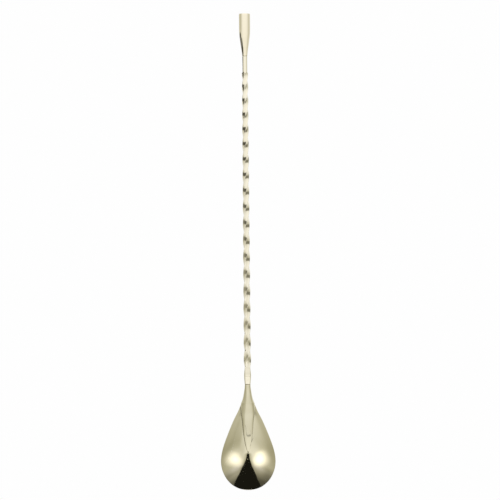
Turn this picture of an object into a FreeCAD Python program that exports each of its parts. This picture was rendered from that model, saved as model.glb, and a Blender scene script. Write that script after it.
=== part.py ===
import FreeCAD, Part
import math
import os
import Sketcher
from FreeCAD import Rotation, Vector

# Bar spoon: a teardrop bowl, a solid neck with a leaf-shaped strip down the
# back of the bowl, a right-handed twisted square shaft and a turned end weight.
#
# Frame: millimetres, +Z up along the shaft. The origin is the centre of the
# flat muddling face on top of the end weight, so the spoon hangs down from
# z = 0 to the bowl's tip at z = -overall_length. The bowl opens towards +Y and
# its convex back faces -Y.
#
# "Station" below means the height above the bowl's tip.

# ---------------------------------------------------------------- sizes
SIZES = [
    ("overall_length", 300.0, "muddling face to bowl tip"),
    # end weight, heights measured down from the muddling face
    ("weight_radius", 3.5, "barrel of the end weight"),
    ("weight_edge", 0.5, "rounding of the muddling face's rim"),
    ("weight_barrel", 8.8, "lower end of the straight barrel"),
    ("weight_cone_start", 15.4, "end of the blend from barrel to cone"),
    ("weight_cone_start_radius", 3.08, "radius there"),
    ("weight_cone_end", 21.3, "end of the cone, where the run-out begins"),
    ("weight_cone_end_radius", 2.29, "radius there"),
    ("weight_length", 26.7, "whole end weight"),
    ("weight_end_radius", 1.60, "radius at the lower end"),
    ("weight_runout", 60.0, "radius of the hollow run-out"),
    ("weight_bore_radius", 1.15, "blind bore for the spigot"),
    ("weight_bore_depth", 9.5, "blind bore for the spigot"),
    # shaft
    ("seam_height", 66.6, "station of the shaft's own origin, mid-height of the seam"),
    ("twist_start", 77.5, "station of the top of the bolster"),
    ("twist_end", 263.2, "station of the top of the twist"),
    ("bar_bottom", 3.36, "across flats of the bar at the bolster"),
    ("bar_top", 2.82, "across flats of the bar at the top of the twist"),
    ("bar_corner", 0.18, "corner radius of the bar"),
    ("twist_mid", 170.0, "station that the twist law is written about"),
    ("twist_angle", 740.90, "direction of a corner there, degrees"),
    ("twist_rate", 8.69104, "degrees per mm there"),
    ("twist_rate_two", 0.00564186, "change of pitch, degrees per mm squared"),
    ("twist_rate_three", 0.0000374298, "change of pitch, degrees per mm cubed"),
    ("twist_step", 2.3, "nominal spacing of the sections of the twist"),
    ("rod_radius", 1.525, "turned round rod above the twist"),
    ("spigot_radius", 1.05, "spigot inside the end weight"),
    ("spigot_length", 9.2, "spigot above the weight's lower face"),
    ("spigot_root", 2.0, "spigot's overlap below the weight's lower face"),
    ("tenon_radius", 1.05, "tenon inside the neck"),
    ("tenon_length", 5.5, "tenon below the shaft's origin"),
    ("tenon_root", 1.5, "tenon's overlap above the shaft's origin"),
    ("tip_chamfer", 0.3, "chamfer on the ends of the spigot and the tenon"),
    # neck socket and fillers
    ("socket_radius", 1.15, "socket in the neck"),
    ("socket_depth", 6.2, "socket in the neck"),
    ("socket_clear", 1.0, "how far the socket's tool stands above the neck"),
    ("braze_gap", 0.10, "filler at the weight's face, half the filler at the seam"),
    ("neck_ring_radius", 1.76, "filler seen between shaft and neck"),
    ("weight_ring_radius", 1.62, "filler seen between shaft and weight"),
    ("film_gap", 0.10, "filler under the strip, measured along y"),
    # dish
    ("rim_plane", 0.65, "y of the rim"),
    ("rim_land", 0.25, "height of the trimmed edge of the rim"),
    ("sheet_thickness", 0.9, "sheet of the dish"),
    ("slope_step", 0.05, "half step for measuring the slope of the dish's back"),
    ("tongue_height", 61.0, "station of the top of the tongue inside the neck"),
    # strip
    ("strip_edge", 0.72, "share of the strip's height lost at its edges"),
    ("strip_run_on", 1.5, "how far the strip's form runs on past its end stations"),
    ("strip_half_min", 0.2, "least half width used for the strip's crown"),
    ("strip_half_soft", 0.5, "mm squared added to that half width squared"),
    ("strip_rise_min", 0.08, "least height used for the strip's crown"),
    # blocks that the dish and the strip are cut from
    ("blank_plane", -9.6, "y of the outlines' plane, behind the dish"),
    ("leaf_depth", 10.6, "extrusion of the strip's outline"),
    ("prism_depth", 14.0, "extrusion of the height surfaces"),
    # worked out
    ("neck_top", "=seam_height - braze_gap", "station of the neck's upper face"),
    ("weight_blend",
     "=((weight_radius - weight_cone_start_radius)^2"
     " + (weight_cone_start - weight_barrel)^2)"
     " / (2 * (weight_radius - weight_cone_start_radius))",
     "radius of the blend, tangent to the barrel"),
]

# Each table: its columns, then its rows. z is a station, half a half width.
TABLES = {
    # Dish outline, tip to tongue.
    "outline": (("z", "half"), [
        (0.0, 0.0), (0.5, 4.23), (1.5, 7.15), (3.0, 9.76), (5.0, 12.07),
        (8.0, 14.39), (11.0, 15.89), (14.5, 16.91), (18.5, 17.27), (22.5, 16.90),
        (27.0, 15.83), (32.0, 14.12), (37.0, 12.16), (42.0, 10.06), (46.0, 8.18),
        (50.0, 6.13), (52.0, 5.27), (54.0, 4.42), (56.0, 3.30), (58.0, 2.50),
        (61.0, 1.90),
    ]),
    # Dish section: depth of the back on the centre line, below the lower edge
    # of the rim's land, and curve, where y rises by curve times x squared.
    "dish": (("z", "depth", "curve"), [
        (-2.0, -1.22, 0.01700), (0.0, 0.0, 0.01700), (2.0, 1.180, 0.01756),
        (4.0, 2.250, 0.01863), (6.0, 3.250, 0.01941), (8.0, 4.150, 0.02005),
        (10.0, 4.950, 0.02066), (12.0, 5.630, 0.02127), (14.0, 6.200, 0.02190),
        (16.0, 6.670, 0.02270), (18.0, 7.050, 0.02367), (20.0, 7.340, 0.02481),
        (22.5, 7.550, 0.02643), (25.0, 7.620, 0.02836), (28.0, 7.430, 0.03080),
        (32.0, 6.980, 0.03501), (36.0, 6.380, 0.04045), (38.0, 6.050, 0.04382),
        (40.0, 5.705, 0.04784), (42.0, 5.350, 0.05286), (44.0, 4.970, 0.05924),
        (46.0, 4.550, 0.06800), (48.0, 4.080, 0.08026), (50.0, 3.550, 0.09447),
        (52.0, 2.930, 0.10550), (54.0, 2.220, 0.10600), (57.0, 1.250, 0.05000),
        (60.0, 0.920, 0.01000), (63.0, 0.900, 0.00000),
    ]),
    # Neck: oval sections; thick is the half thickness, line the y of the centre.
    "neck": (("z", "half", "thick", "line"), [
        (66.50, 1.80, 1.79, 0.00), (64.50, 1.95, 1.92, -0.12),
        (61.50, 2.37, 1.94, -0.60), (58.50, 2.95, 1.92, -1.12),
        (56.50, 3.54, 1.94, -1.38), (54.60, 4.20, 1.99, -1.57),
    ]),
    # Raised strip, top to foot; rise is its height above the film on the dish.
    "strip": (("z", "half", "rise"), [
        (54.60, 4.20, 1.85), (52.00, 4.40, 1.35), (50.00, 4.20, 1.05),
        (48.00, 3.97, 0.84), (46.00, 3.72, 0.76), (43.00, 3.33, 0.68),
        (40.00, 3.08, 0.59), (37.00, 2.80, 0.47), (34.00, 2.42, 0.34),
        (31.40, 2.00, 0.24), (28.50, 1.45, 0.17), (26.00, 0.88, 0.13),
        (24.40, 0.40, 0.11),
    ]),
    # Bolster: across flats and corner radius.
    "bolster": (("z", "flats", "corner"), [
        (66.70, 3.62, 0.98), (68.50, 3.86, 0.88), (70.30, 4.18, 0.90),
        (72.20, 4.36, 0.95), (74.20, 4.12, 0.78), (76.00, 3.68, 0.46),
        (77.50, 3.42, 0.24),
    ]),
}

# Numbers of steps in the computed sections and outlines.
BOLSTER_STEPS = 9
OUTLINE_STEPS = 46
STRIP_STEPS = 24

doc = FreeCAD.newDocument("BarSpoon")
sheet = doc.addObject("Spreadsheet::Sheet", "Sizes")


def fill_sheet():
    """One row for each size and each table entry: name, value, note."""
    cells = list(SIZES)
    for table, (names, rows) in TABLES.items():
        for i, row in enumerate(rows):
            for name, value in zip(names, row):
                cells.append((f"{table}_{name}_{i:02d}", value, f"{table} {name}"))
    for row, (name, value, note) in enumerate(cells, start=1):
        sheet.set(f"A{row}", name)
        sheet.set(f"B{row}", str(value))
        sheet.set(f"C{row}", note)
        sheet.setAlias(f"B{row}", name)
    doc.recompute()


def size(name):
    return float(getattr(sheet, name))


def columns(table):
    """The columns of a table, read from the sheet."""
    names, rows = TABLES[table]
    return [[size(f"{table}_{name}_{i:02d}") for i in range(len(rows))]
            for name in names]


def evaluate(text):
    """Value of a sum of numbers and sizes, such as 'Sizes.one - Sizes.two'."""
    total, sign = 0.0, 1.0
    for word in text.replace("-", " - ").split():
        if word in ("+", "-"):
            sign = -1.0 if word == "-" else 1.0
        elif word.startswith("Sizes."):
            total += sign * size(word[len("Sizes."):])
        else:
            total += sign * float(word)
    return total


def natural_spline(stations, values):
    """Natural cubic spline through the stations, straight beyond the ends."""
    xs, ys = zip(*sorted(zip(stations, values)))
    last = len(xs) - 1
    gaps = [xs[i + 1] - xs[i] for i in range(last)]
    slopes = [(ys[i + 1] - ys[i]) / gaps[i] for i in range(last)]
    # Tridiagonal system for the second derivatives, which are zero at the ends.
    diagonal = [1.0] * (last + 1)
    right = [0.0] * (last + 1)
    for i in range(1, last):
        diagonal[i] = 2.0 * (gaps[i - 1] + gaps[i])
        right[i] = 6.0 * (slopes[i] - slopes[i - 1])
        if i > 1:
            factor = gaps[i - 1] / diagonal[i - 1]
            diagonal[i] -= factor * gaps[i - 1]
            right[i] -= factor * right[i - 1]
    bend = [0.0] * (last + 1)
    for i in range(last - 1, 0, -1):
        bend[i] = (right[i] - gaps[i] * bend[i + 1]) / diagonal[i]

    def value(x):
        if x <= xs[0]:
            return ys[0] + (slopes[0] - gaps[0] * bend[1] / 6.0) * (x - xs[0])
        if x >= xs[-1]:
            return ys[-1] + (slopes[-1] + gaps[-1] * bend[-2] / 6.0) * (x - xs[-1])
        i = 0
        while x > xs[i + 1]:
            i += 1
        below = (xs[i + 1] - x) / gaps[i]
        above = (x - xs[i]) / gaps[i]
        return (below * ys[i] + above * ys[i + 1]
                + ((below ** 3 - below) * bend[i] + (above ** 3 - above) * bend[i + 1])
                * gaps[i] ** 2 / 6.0)
    return value


# ---------------------------------------------------------------- helpers
def feature(name, shape):
    item = doc.addObject("Part::Feature", name)
    item.Shape = shape
    return item


def primitive(kind, name, bottom, **dimensions):
    """A Part primitive; its bottom z and its dimensions are expressions."""
    item = doc.addObject("Part::" + kind, name)
    for dimension, text in dimensions.items():
        item.setExpression(dimension, text)
    item.setExpression("Placement.Base.z", bottom)
    return item


def boolean(kind, name, base, tool):
    """kind is Cut or Common."""
    item = doc.addObject("Part::" + kind, name)
    item.Base = base
    item.Tool = tool
    return item


def fuse(name, shapes):
    item = doc.addObject("Part::MultiFuse", name)
    item.Shapes = shapes
    return item


def make_body(label):
    body = doc.addObject("PartDesign::Body", label + "_body")
    body.Label = label
    doc.recompute()
    return body


def bulged_arc(start, end, radius, side):
    """Arc that bulges to the left of start-to-end for side 1, right for -1."""
    chord = end - start
    across = Vector(-chord.y, chord.x, 0)
    across.normalize()
    sag = radius - math.sqrt(radius ** 2 - (chord.Length / 2) ** 2)
    return Part.Arc(start, (start + end) * 0.5 + across * (sag * side), end)


def turned_sketch(body, name, points, arcs):
    """A closed half-profile on the XZ plane.

    points holds (radius, height) expressions. Each corner is held by two
    dimensions bound to the sheet, or by an axis where the expression is "0".
    arcs maps the index of a side to (radius expression, side of the bulge).
    """
    sketch = body.newObject("Sketcher::SketchObject", name)
    plane = next(item for item in body.Origin.OriginFeatures if item.Role == "XZ_Plane")
    sketch.AttachmentSupport = [(plane, "")]
    sketch.MapMode = "FlatFace"

    def bind(value, text, kind, *where):
        index = sketch.addConstraint(Sketcher.Constraint(kind, *where, value))
        sketch.setExpression(f"Constraints[{index}]", text)

    corners = [Vector(evaluate(across), evaluate(up), 0) for across, up in points]
    ends = []  # geometry index, its start point and its end point
    for i, start in enumerate(corners):
        end = corners[(i + 1) % len(corners)]
        if i in arcs:
            text, side = arcs[i]
            arc = bulged_arc(start, end, evaluate(text), side)
            index = sketch.addGeometry(arc, False)
            # The sketcher stores arcs anticlockwise, so the ends may be swapped.
            flipped = (sketch.getPoint(index, 1) - start).Length > 1e-6
            ends.append((index, 2, 1) if flipped else (index, 1, 2))
        else:
            index = sketch.addGeometry(Part.LineSegment(start, end), False)
            ends.append((index, 1, 2))
    for i, (index, _, finish) in enumerate(ends):
        following = ends[(i + 1) % len(ends)]
        sketch.addConstraint(Sketcher.Constraint(
            "Coincident", index, finish, following[0], following[1]))
    for (across, up), (index, start, _) in zip(points, ends):
        for kind, text, axis in (("DistanceX", across, -2), ("DistanceY", up, -1)):
            if text == "0":
                sketch.addConstraint(
                    Sketcher.Constraint("PointOnObject", index, start, axis))
            else:
                bind(evaluate(text), text, kind, -1, 1, index, start)
    for i, (text, _) in arcs.items():
        bind(evaluate(text), text, "Radius", ends[i][0])
    doc.recompute()
    return sketch


def turn(body, kind, name, sketch_name, points, arcs=None):
    """Revolve a profile about Z: kind is Revolution (adds) or Groove (cuts)."""
    sketch = turned_sketch(body, sketch_name, points, arcs or {})
    item = body.newObject("PartDesign::" + kind, name)
    item.Profile = sketch
    item.ReferenceAxis = (sketch, ["V_Axis"])
    item.Angle = 360
    doc.recompute()


# ---------------------------------------------------------------- end weight
def build_end_weight():
    """Flat face, barrel, blend, cone, hollow run-out, and a bore from below."""
    body = make_body("end_weight")
    turn(body, "Revolution", "weight_turned", "weight_profile", [
        ("0", "0"),
        ("Sizes.weight_radius - Sizes.weight_edge", "0"),
        ("Sizes.weight_radius", "-Sizes.weight_edge"),
        ("Sizes.weight_radius", "-Sizes.weight_barrel"),
        ("Sizes.weight_cone_start_radius", "-Sizes.weight_cone_start"),
        ("Sizes.weight_cone_end_radius", "-Sizes.weight_cone_end"),
        ("Sizes.weight_end_radius", "-Sizes.weight_length"),
        ("0", "-Sizes.weight_length"),
    ], {
        1: ("Sizes.weight_edge", 1),
        3: ("Sizes.weight_blend", 1),
        5: ("Sizes.weight_runout", -1),
    })
    bore_end = "-Sizes.weight_length + Sizes.weight_bore_depth"
    turn(body, "Groove", "weight_bore", "weight_bore_profile", [
        ("0", "-Sizes.weight_length"),
        ("Sizes.weight_bore_radius", "-Sizes.weight_length"),
        ("Sizes.weight_bore_radius", bore_end),
        ("0", bore_end),
    ])
    return body


# ---------------------------------------------------------------- fillers
def build_weight_ring():
    """Sleeve in the bore and a thin ring under the weight's lower face.

    Its own origin is that face.
    """
    body = make_body("weight_braze_ring")
    sleeve_top = "Sizes.spigot_length - Sizes.tip_chamfer"
    turn(body, "Revolution", "weight_ring_turned", "weight_ring_profile", [
        ("Sizes.spigot_radius", "-Sizes.braze_gap"),
        ("Sizes.weight_ring_radius", "-Sizes.braze_gap"),
        ("Sizes.weight_ring_radius", "0"),
        ("Sizes.weight_bore_radius", "0"),
        ("Sizes.weight_bore_radius", sleeve_top),
        ("Sizes.spigot_radius", sleeve_top),
    ])
    body.setExpression("Placement.Base.z", "-Sizes.weight_length")
    return body


def build_neck_ring():
    """Sleeve in the socket and the ring seen at the seam.

    Its own origin is the neck's upper face.
    """
    body = make_body("neck_braze_ring")
    sleeve_bottom = "-Sizes.tenon_length + Sizes.tip_chamfer"
    ring_top = "Sizes.braze_gap + Sizes.braze_gap"
    turn(body, "Revolution", "neck_ring_turned", "neck_ring_profile", [
        ("Sizes.tenon_radius", sleeve_bottom),
        ("Sizes.socket_radius", sleeve_bottom),
        ("Sizes.socket_radius", "0"),
        ("Sizes.neck_ring_radius", "0"),
        ("Sizes.neck_ring_radius", ring_top),
        ("Sizes.tenon_radius", ring_top),
    ])
    body.setExpression("Placement.Base.z", "Sizes.neck_top - Sizes.overall_length")
    return body


# ---------------------------------------------------------------- shaft
def rounded_square(z, flats, corner, angle):
    """Wire at height z; at angle 0 its flats face the X and Y axes."""
    half = flats / 2.0
    edge = half - corner
    middle = edge + corner * math.sqrt(0.5)
    rotation = Rotation(Vector(0, 0, 1), angle)
    sides = []
    for cosine, sine in ((1, 0), (0, 1), (-1, 0), (0, -1)):
        flat_start, flat_end, corner_middle, corner_end = [
            rotation.multVec(Vector(cosine * x - sine * y, sine * x + cosine * y, 0))
            + Vector(0, 0, z)
            for x, y in ((half, -edge), (half, edge), (middle, middle), (edge, half))]
        sides.append(Part.LineSegment(flat_start, flat_end).toShape())
        sides.append(Part.Arc(flat_end, corner_middle, corner_end).toShape())
    return Part.Wire(sides)


def twist(z):
    """Direction of a corner of the bar at a station, in degrees."""
    rise = z - size("twist_mid")
    return (size("twist_angle") + size("twist_rate") * rise
            + size("twist_rate_two") * rise ** 2 + size("twist_rate_three") * rise ** 3)


def bolster_loft():
    stations, flats, corners = columns("bolster")
    flats_at = natural_spline(stations, flats)
    corner_at = natural_spline(stations, corners)
    sections = []
    for i in range(BOLSTER_STEPS + 1):
        z = stations[0] + (stations[-1] - stations[0]) * i / float(BOLSTER_STEPS)
        sections.append(
            rounded_square(z - size("seam_height"), flats_at(z), corner_at(z), 0.0))
    return Part.makeLoft(sections, True, False)


def twisted_loft():
    length = size("twist_end") - size("twist_start")
    steps = int(round(length / size("twist_step")))
    sections = []
    for i in range(steps + 1):
        part = i / float(steps)
        z = size("twist_start") + part * length
        flats = size("bar_bottom") + part * (size("bar_top") - size("bar_bottom"))
        # The twist law follows a corner, which stands 45 degrees from a flat.
        sections.append(rounded_square(
            z - size("seam_height"), flats, size("bar_corner"), twist(z) + 45.0))
    return Part.makeLoft(sections, True, False)


def build_shaft():
    """Lofted bolster and twist with a turned tenon, rod and spigot.

    Its own origin is at the seam height.
    """
    weight_face = "Sizes.overall_length - Sizes.weight_length - Sizes.seam_height"
    swell = feature("bolster", bolster_loft())
    bar = feature("twisted_bar", twisted_loft())
    tenon = primitive(
        "Cylinder", "tenon", "Sizes.tip_chamfer - Sizes.tenon_length",
        Radius="Sizes.tenon_radius",
        Height="Sizes.tenon_length - Sizes.tip_chamfer + Sizes.tenon_root")
    tenon_tip = primitive(
        "Cone", "tenon_tip", "-Sizes.tenon_length",
        Radius1="Sizes.tenon_radius - Sizes.tip_chamfer",
        Radius2="Sizes.tenon_radius",
        Height="Sizes.tip_chamfer")
    rod = primitive(
        "Cylinder", "round_rod", "Sizes.twist_end - Sizes.seam_height",
        Radius="Sizes.rod_radius",
        Height="Sizes.overall_length - Sizes.weight_length"
               " - Sizes.braze_gap - Sizes.twist_end")
    spigot = primitive(
        "Cylinder", "spigot", weight_face + " - Sizes.spigot_root",
        Radius="Sizes.spigot_radius",
        Height="Sizes.spigot_length - Sizes.tip_chamfer + Sizes.spigot_root")
    spigot_tip = primitive(
        "Cone", "spigot_tip", weight_face + " + Sizes.spigot_length - Sizes.tip_chamfer",
        Radius1="Sizes.spigot_radius",
        Radius2="Sizes.spigot_radius - Sizes.tip_chamfer",
        Height="Sizes.tip_chamfer")
    doc.recompute()
    shaft = fuse("shaft_fuse", [bar, swell, tenon, tenon_tip, rod, spigot, spigot_tip])
    shaft.Label = "twisted_shaft"
    shaft.setExpression("Placement.Base.z", "Sizes.seam_height - Sizes.overall_length")
    doc.recompute()
    return shaft


# ---------------------------------------------------------------- dish
# The dish, the neck, the strip and its film are modelled in station heights
# and moved down by the overall length at the end.
fill_sheet()
dish_stations, dish_depths, dish_curves = columns("dish")
depth_at = natural_spline(dish_stations, dish_depths)
curve_at = natural_spline(dish_stations, dish_curves)


def back_y(x, z):
    """The dish's convex back."""
    return size("rim_plane") - size("rim_land") - depth_at(z) + curve_at(z) * x * x


def front_y(x, z):
    """The dish's hollow side, one sheet thickness from the back."""
    step = size("slope_step")
    slope_x = (back_y(x + step, z) - back_y(x - step, z)) / (2 * step)
    slope_z = (back_y(x, z + step) - back_y(x, z - step)) / (2 * step)
    return back_y(x, z) + size("sheet_thickness") * math.sqrt(
        1 + slope_x * slope_x + slope_z * slope_z)


def height_prism(name, height_y, low, high, half_span, across, along):
    """Everything on the +Y side of a height surface, to the prism depth.

    across and along are the numbers of grid steps in x and z.
    """
    xs = [-half_span + 2.0 * half_span * i / across for i in range(across + 1)]
    zs = [low + (high - low) * j / float(along) for j in range(along + 1)]
    surface = Part.BSplineSurface()
    surface.interpolate([[Vector(x, height_y(x, z), z) for z in zs] for x in xs])
    return feature(name, surface.toShape().extrude(Vector(0, size("prism_depth"), 0)))


def curve_through(points):
    """Edge through (x, z) points on the blank plane."""
    curve = Part.BSplineCurve()
    curve.interpolate([Vector(x, size("blank_plane"), z) for x, z in points])
    return curve.toShape()


def line_between(start, end):
    """Straight edge between two (x, z) points on the blank plane."""
    return Part.LineSegment(*[Vector(x, size("blank_plane"), z)
                              for x, z in (start, end)]).toShape()


def dish_blank():
    """Outline of the dish, extruded up to the rim plane."""
    stations, halves = columns("outline")
    # Spaced by the square root of the station, which suits the round tip.
    half_at = natural_spline([math.sqrt(z) for z in stations], halves)
    side = []
    for i in range(OUTLINE_STEPS + 1):
        z = size("tongue_height") * (i / float(OUTLINE_STEPS)) ** 2
        side.append((half_at(math.sqrt(z)), z))
    path = [(-half, z) for half, z in reversed(side)] + side[1:]
    outline = Part.Wire([curve_through(path), line_between(path[-1], path[0])])
    depth = size("rim_plane") - size("blank_plane")
    return Part.Face(outline).extrude(Vector(0, depth, 0))


def build_dish():
    """The pressed dish, the same form as a tool, and the block before its back."""
    grid = dict(low=-3.0, high=64.0, half_span=19.5, across=30, along=44)
    blank = feature("dish_outline", dish_blank())
    back_block = height_prism("dish_back", back_y, **grid)
    front_block = height_prism("dish_front", front_y, **grid)
    pressing = boolean("Common", "dish_pressing", blank, back_block)
    dish = boolean("Cut", "dish_cut", pressing, front_block)
    dish.Label = "bowl_dish"
    # This copy stays in station heights, to cut the neck.
    dish_form = boolean("Cut", "dish_form", pressing, front_block)
    doc.recompute()
    return dish, dish_form, back_block


# ---------------------------------------------------------------- strip and film
strip_stations, strip_halves, strip_rises = columns("strip")
strip_half_at = natural_spline(strip_stations, strip_halves)
strip_rise_at = natural_spline(strip_stations, strip_rises)


def film_y(x, z):
    """The strip's underside, which is the outer face of the film."""
    return back_y(x, z) - size("film_gap")


def strip_y(x, z):
    """The strip's crowned outer face."""
    run_on = size("strip_run_on")
    z = min(max(z, strip_stations[-1] - run_on), strip_stations[0] + run_on)
    half_squared = (max(strip_half_at(z), size("strip_half_min")) ** 2
                    + size("strip_half_soft"))
    crown = 1.0 - size("strip_edge") * x * x / half_squared
    return film_y(x, z) - max(strip_rise_at(z), size("strip_rise_min")) * crown


def leaf_blank():
    """Outline of the strip, extruded through the dish's back."""
    top, foot = strip_stations[0], strip_stations[-1]
    right = []
    for i in range(STRIP_STEPS + 1):
        z = foot + (top - foot) * i / float(STRIP_STEPS)
        right.append((strip_half_at(z), z))
    left = [(-half, z) for half, z in right]
    edges = [curve_through(right), line_between(right[-1], left[-1]),
             curve_through(left), line_between(left[0], right[0])]
    leaf = Part.Face(Part.Wire(Part.sortEdges(edges)[0]))
    return leaf.extrude(Vector(0, size("leaf_depth"), 0))


def build_strip(leaf_block, film_block):
    strip_block = height_prism("strip_top", strip_y, low=22.0, high=57.0,
                               half_span=5.2, across=20, along=30)
    strip_front = boolean("Common", "strip_front", leaf_block, strip_block)
    return boolean("Cut", "strip_solid", strip_front, film_block)


def build_film(leaf_block, film_block, back_block):
    """Thin layer between the dish's back and the strip, as wide as the strip."""
    film_front = boolean("Common", "film_front", leaf_block, film_block)
    film = boolean("Cut", "film_cut", film_front, back_block)
    film.Label = "tail_braze_film"
    doc.recompute()
    return film


# ---------------------------------------------------------------- neck
def build_neck(dish_form, strip_solid):
    """Solid neck that closes round the dish's tongue, fused with the strip."""
    ovals = []
    for z, half, thick, line in zip(*columns("neck")):
        centre = Vector(0, line, min(z, size("neck_top")))
        ovals.append(Part.Wire([Part.Ellipse(centre, half, thick).toShape()]))
    neck_loft = feature("neck_loft", Part.makeLoft(ovals, True, False))
    socket = primitive(
        "Cylinder", "neck_socket", "Sizes.neck_top - Sizes.socket_depth",
        Radius="Sizes.socket_radius",
        Height="Sizes.socket_depth + Sizes.socket_clear")
    neck_holes = fuse("neck_holes", [dish_form, socket])
    neck_solid = boolean("Cut", "neck_solid", neck_loft, neck_holes)
    whole = fuse("neck_fuse", [neck_solid, strip_solid])
    whole.Label = "neck_with_strip"
    # The dish's form is cut again, to clear it from the strip as well.
    neck = boolean("Cut", "neck_slotted", whole, dish_form)
    neck.Label = "rat_tail_neck"
    doc.recompute()
    return neck


# ---------------------------------------------------------------- assembly
weight = build_end_weight()
weight_ring = build_weight_ring()
neck_ring = build_neck_ring()
shaft = build_shaft()
dish, dish_form, back_block = build_dish()
leaf_block = feature("strip_outline", leaf_blank())
film_block = height_prism("strip_under", film_y, low=20.0, high=58.0,
                          half_span=6.0, across=20, along=30)
strip_solid = build_strip(leaf_block, film_block)
neck = build_neck(dish_form, strip_solid)
film = build_film(leaf_block, film_block, back_block)
for item in (dish, neck, film):
    item.setExpression("Placement.Base.z", "-Sizes.overall_length")
doc.recompute()

# ---------------------------------------------------------------- output
parts = [dish, neck, film, shaft, neck_ring, weight, weight_ring]
for item in doc.Objects:
    bad = [state for state in item.State if state in ("Invalid", "Error")]
    if bad:
        raise RuntimeError(f"{item.Name} is {bad}")
for item in parts:
    shape = item.Shape
    if shape.isNull() or not shape.isValid() or len(shape.Solids) != 1:
        raise RuntimeError(f"{item.Label} is not one valid solid")
os.makedirs("parts", exist_ok=True)
for item in parts:
    item.Shape.exportStep(f"parts/{item.Label}.step")
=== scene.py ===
# Bar spoon standing on its bowl: +Z runs up the twisted shaft to the end weight, the
# convex back of the bowl faces -Y (the viewer) and its hollow faces +Y.
# Lengths are in millimetres; a "station" is the height above the bowl's tip.
import math

import bmesh
import bpy
import numpy as np
from mathutils import Matrix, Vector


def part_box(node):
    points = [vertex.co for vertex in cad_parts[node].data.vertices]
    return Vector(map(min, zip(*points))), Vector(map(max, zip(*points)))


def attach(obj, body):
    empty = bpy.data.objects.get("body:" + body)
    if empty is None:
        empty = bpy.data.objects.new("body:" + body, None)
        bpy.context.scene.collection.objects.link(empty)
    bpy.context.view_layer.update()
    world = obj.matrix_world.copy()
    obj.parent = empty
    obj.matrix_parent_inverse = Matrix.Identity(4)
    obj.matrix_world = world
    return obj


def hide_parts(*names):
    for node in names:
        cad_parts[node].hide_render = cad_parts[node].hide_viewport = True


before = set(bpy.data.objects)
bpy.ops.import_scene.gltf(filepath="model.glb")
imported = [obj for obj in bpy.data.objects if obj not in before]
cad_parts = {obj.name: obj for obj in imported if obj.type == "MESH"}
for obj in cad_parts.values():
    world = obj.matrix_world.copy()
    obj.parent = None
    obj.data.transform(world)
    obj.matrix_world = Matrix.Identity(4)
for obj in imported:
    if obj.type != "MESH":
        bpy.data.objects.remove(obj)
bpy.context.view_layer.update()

# ------------------------------------------------------------------ dimensions
MM = 0.001  # metres
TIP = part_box("bowl_dish")[0][2] / MM
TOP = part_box("end_weight")[1][2] / MM
SPOON_LENGTH = 300.0

# Joints: the pins at the shaft's ends sit in blind sockets, with filler between.
PIN_RADIUS = 1.05
SOCKET_RADIUS = 1.15
FILLER_GAP = 0.005  # clearance between filler and metal
FILLER_INNER = PIN_RADIUS + FILLER_GAP
FILLER_OUTER = SOCKET_RADIUS - FILLER_GAP
NECK_END = 66.50
SHAFT_START = 66.72
WEIGHT_START = 273.3

# Dish
RIM_Y = 0.65        # flat top of the rim
LAND_DROP = 0.25    # outer face below the rim
SHEET = 0.90        # thickness
RIM_SOFTNESS = 0.14  # rounding between rim and hollow
TONGUE_END = 61.0   # upper end of the dish, under the neck
TONGUE_CORNER = 0.8
DISH_CENTRE = np.array([0.0, 22.0])  # x, station
GRID_HALF = 72      # cells from the dish's centre to its edge
DISH_AROUND = 8 * GRID_HALF

# Neck and the strip that tapers down the back of the dish
NECK_COUNT = 144
MIN_NECK_HALF = 0.05
STRIP_SINK = 0.10   # how far the strip's hidden face lies off the dish


# ------------------------------------------------------------------ curves
class Spline:
    """Natural cubic spline through (x, y) rows, straight beyond its ends."""

    def __init__(self, rows):
        rows = np.array(rows, float)
        self.x, self.y = rows[np.argsort(rows[:, 0])].T
        self.gap = gap = np.diff(self.x)
        slope = np.diff(self.y) / gap
        count = len(self.x)
        system = np.eye(count)
        target = np.zeros(count)
        for i in range(1, count - 1):
            system[i, i - 1:i + 2] = gap[i - 1], 2 * (gap[i - 1] + gap[i]), gap[i]
            target[i] = 6 * (slope[i] - slope[i - 1])
        self.bend = bend = np.linalg.solve(system, target)
        self.first_slope = slope[0] - gap[0] * (2 * bend[0] + bend[1]) / 6
        self.last_slope = slope[-1] + gap[-1] * (2 * bend[-1] + bend[-2]) / 6

    def __call__(self, x):
        x = np.asarray(x, float)
        i = np.clip(np.searchsorted(self.x, x) - 1, 0, len(self.gap) - 1)
        gap = self.gap[i]
        inside = np.clip(x, self.x[0], self.x[-1])
        before = (self.x[i + 1] - inside) / gap
        after = (inside - self.x[i]) / gap
        bend = (before ** 3 - before) * self.bend[i] + (after ** 3 - after) * self.bend[i + 1]
        y = before * self.y[i] + after * self.y[i + 1] + bend * gap * gap / 6
        return (y + self.first_slope * np.minimum(x - self.x[0], 0)
                + self.last_slope * np.maximum(x - self.x[-1], 0))


def smooth(start, end, x):
    """0 at start, 1 at end, eased."""
    part = np.clip((np.asarray(x, float) - start) / (end - start), 0, 1)
    return part * part * (3 - 2 * part)


def soft_min(a, b, width):
    return 0.5 * (a + b - np.sqrt((a - b) ** 2 + width * width))


def soft_max(a, b, width):
    return 0.5 * (a + b + np.sqrt((a - b) ** 2 + width * width))


def quarter_turn(count):
    return np.linspace(0, math.pi / 2, count)


# ------------------------------------------------------------------ meshes
def height(station):
    """z in mm."""
    return TOP - SPOON_LENGTH + station


def shade_smooth(mesh):
    mesh.polygons.foreach_set("use_smooth", [True] * len(mesh.polygons))


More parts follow.
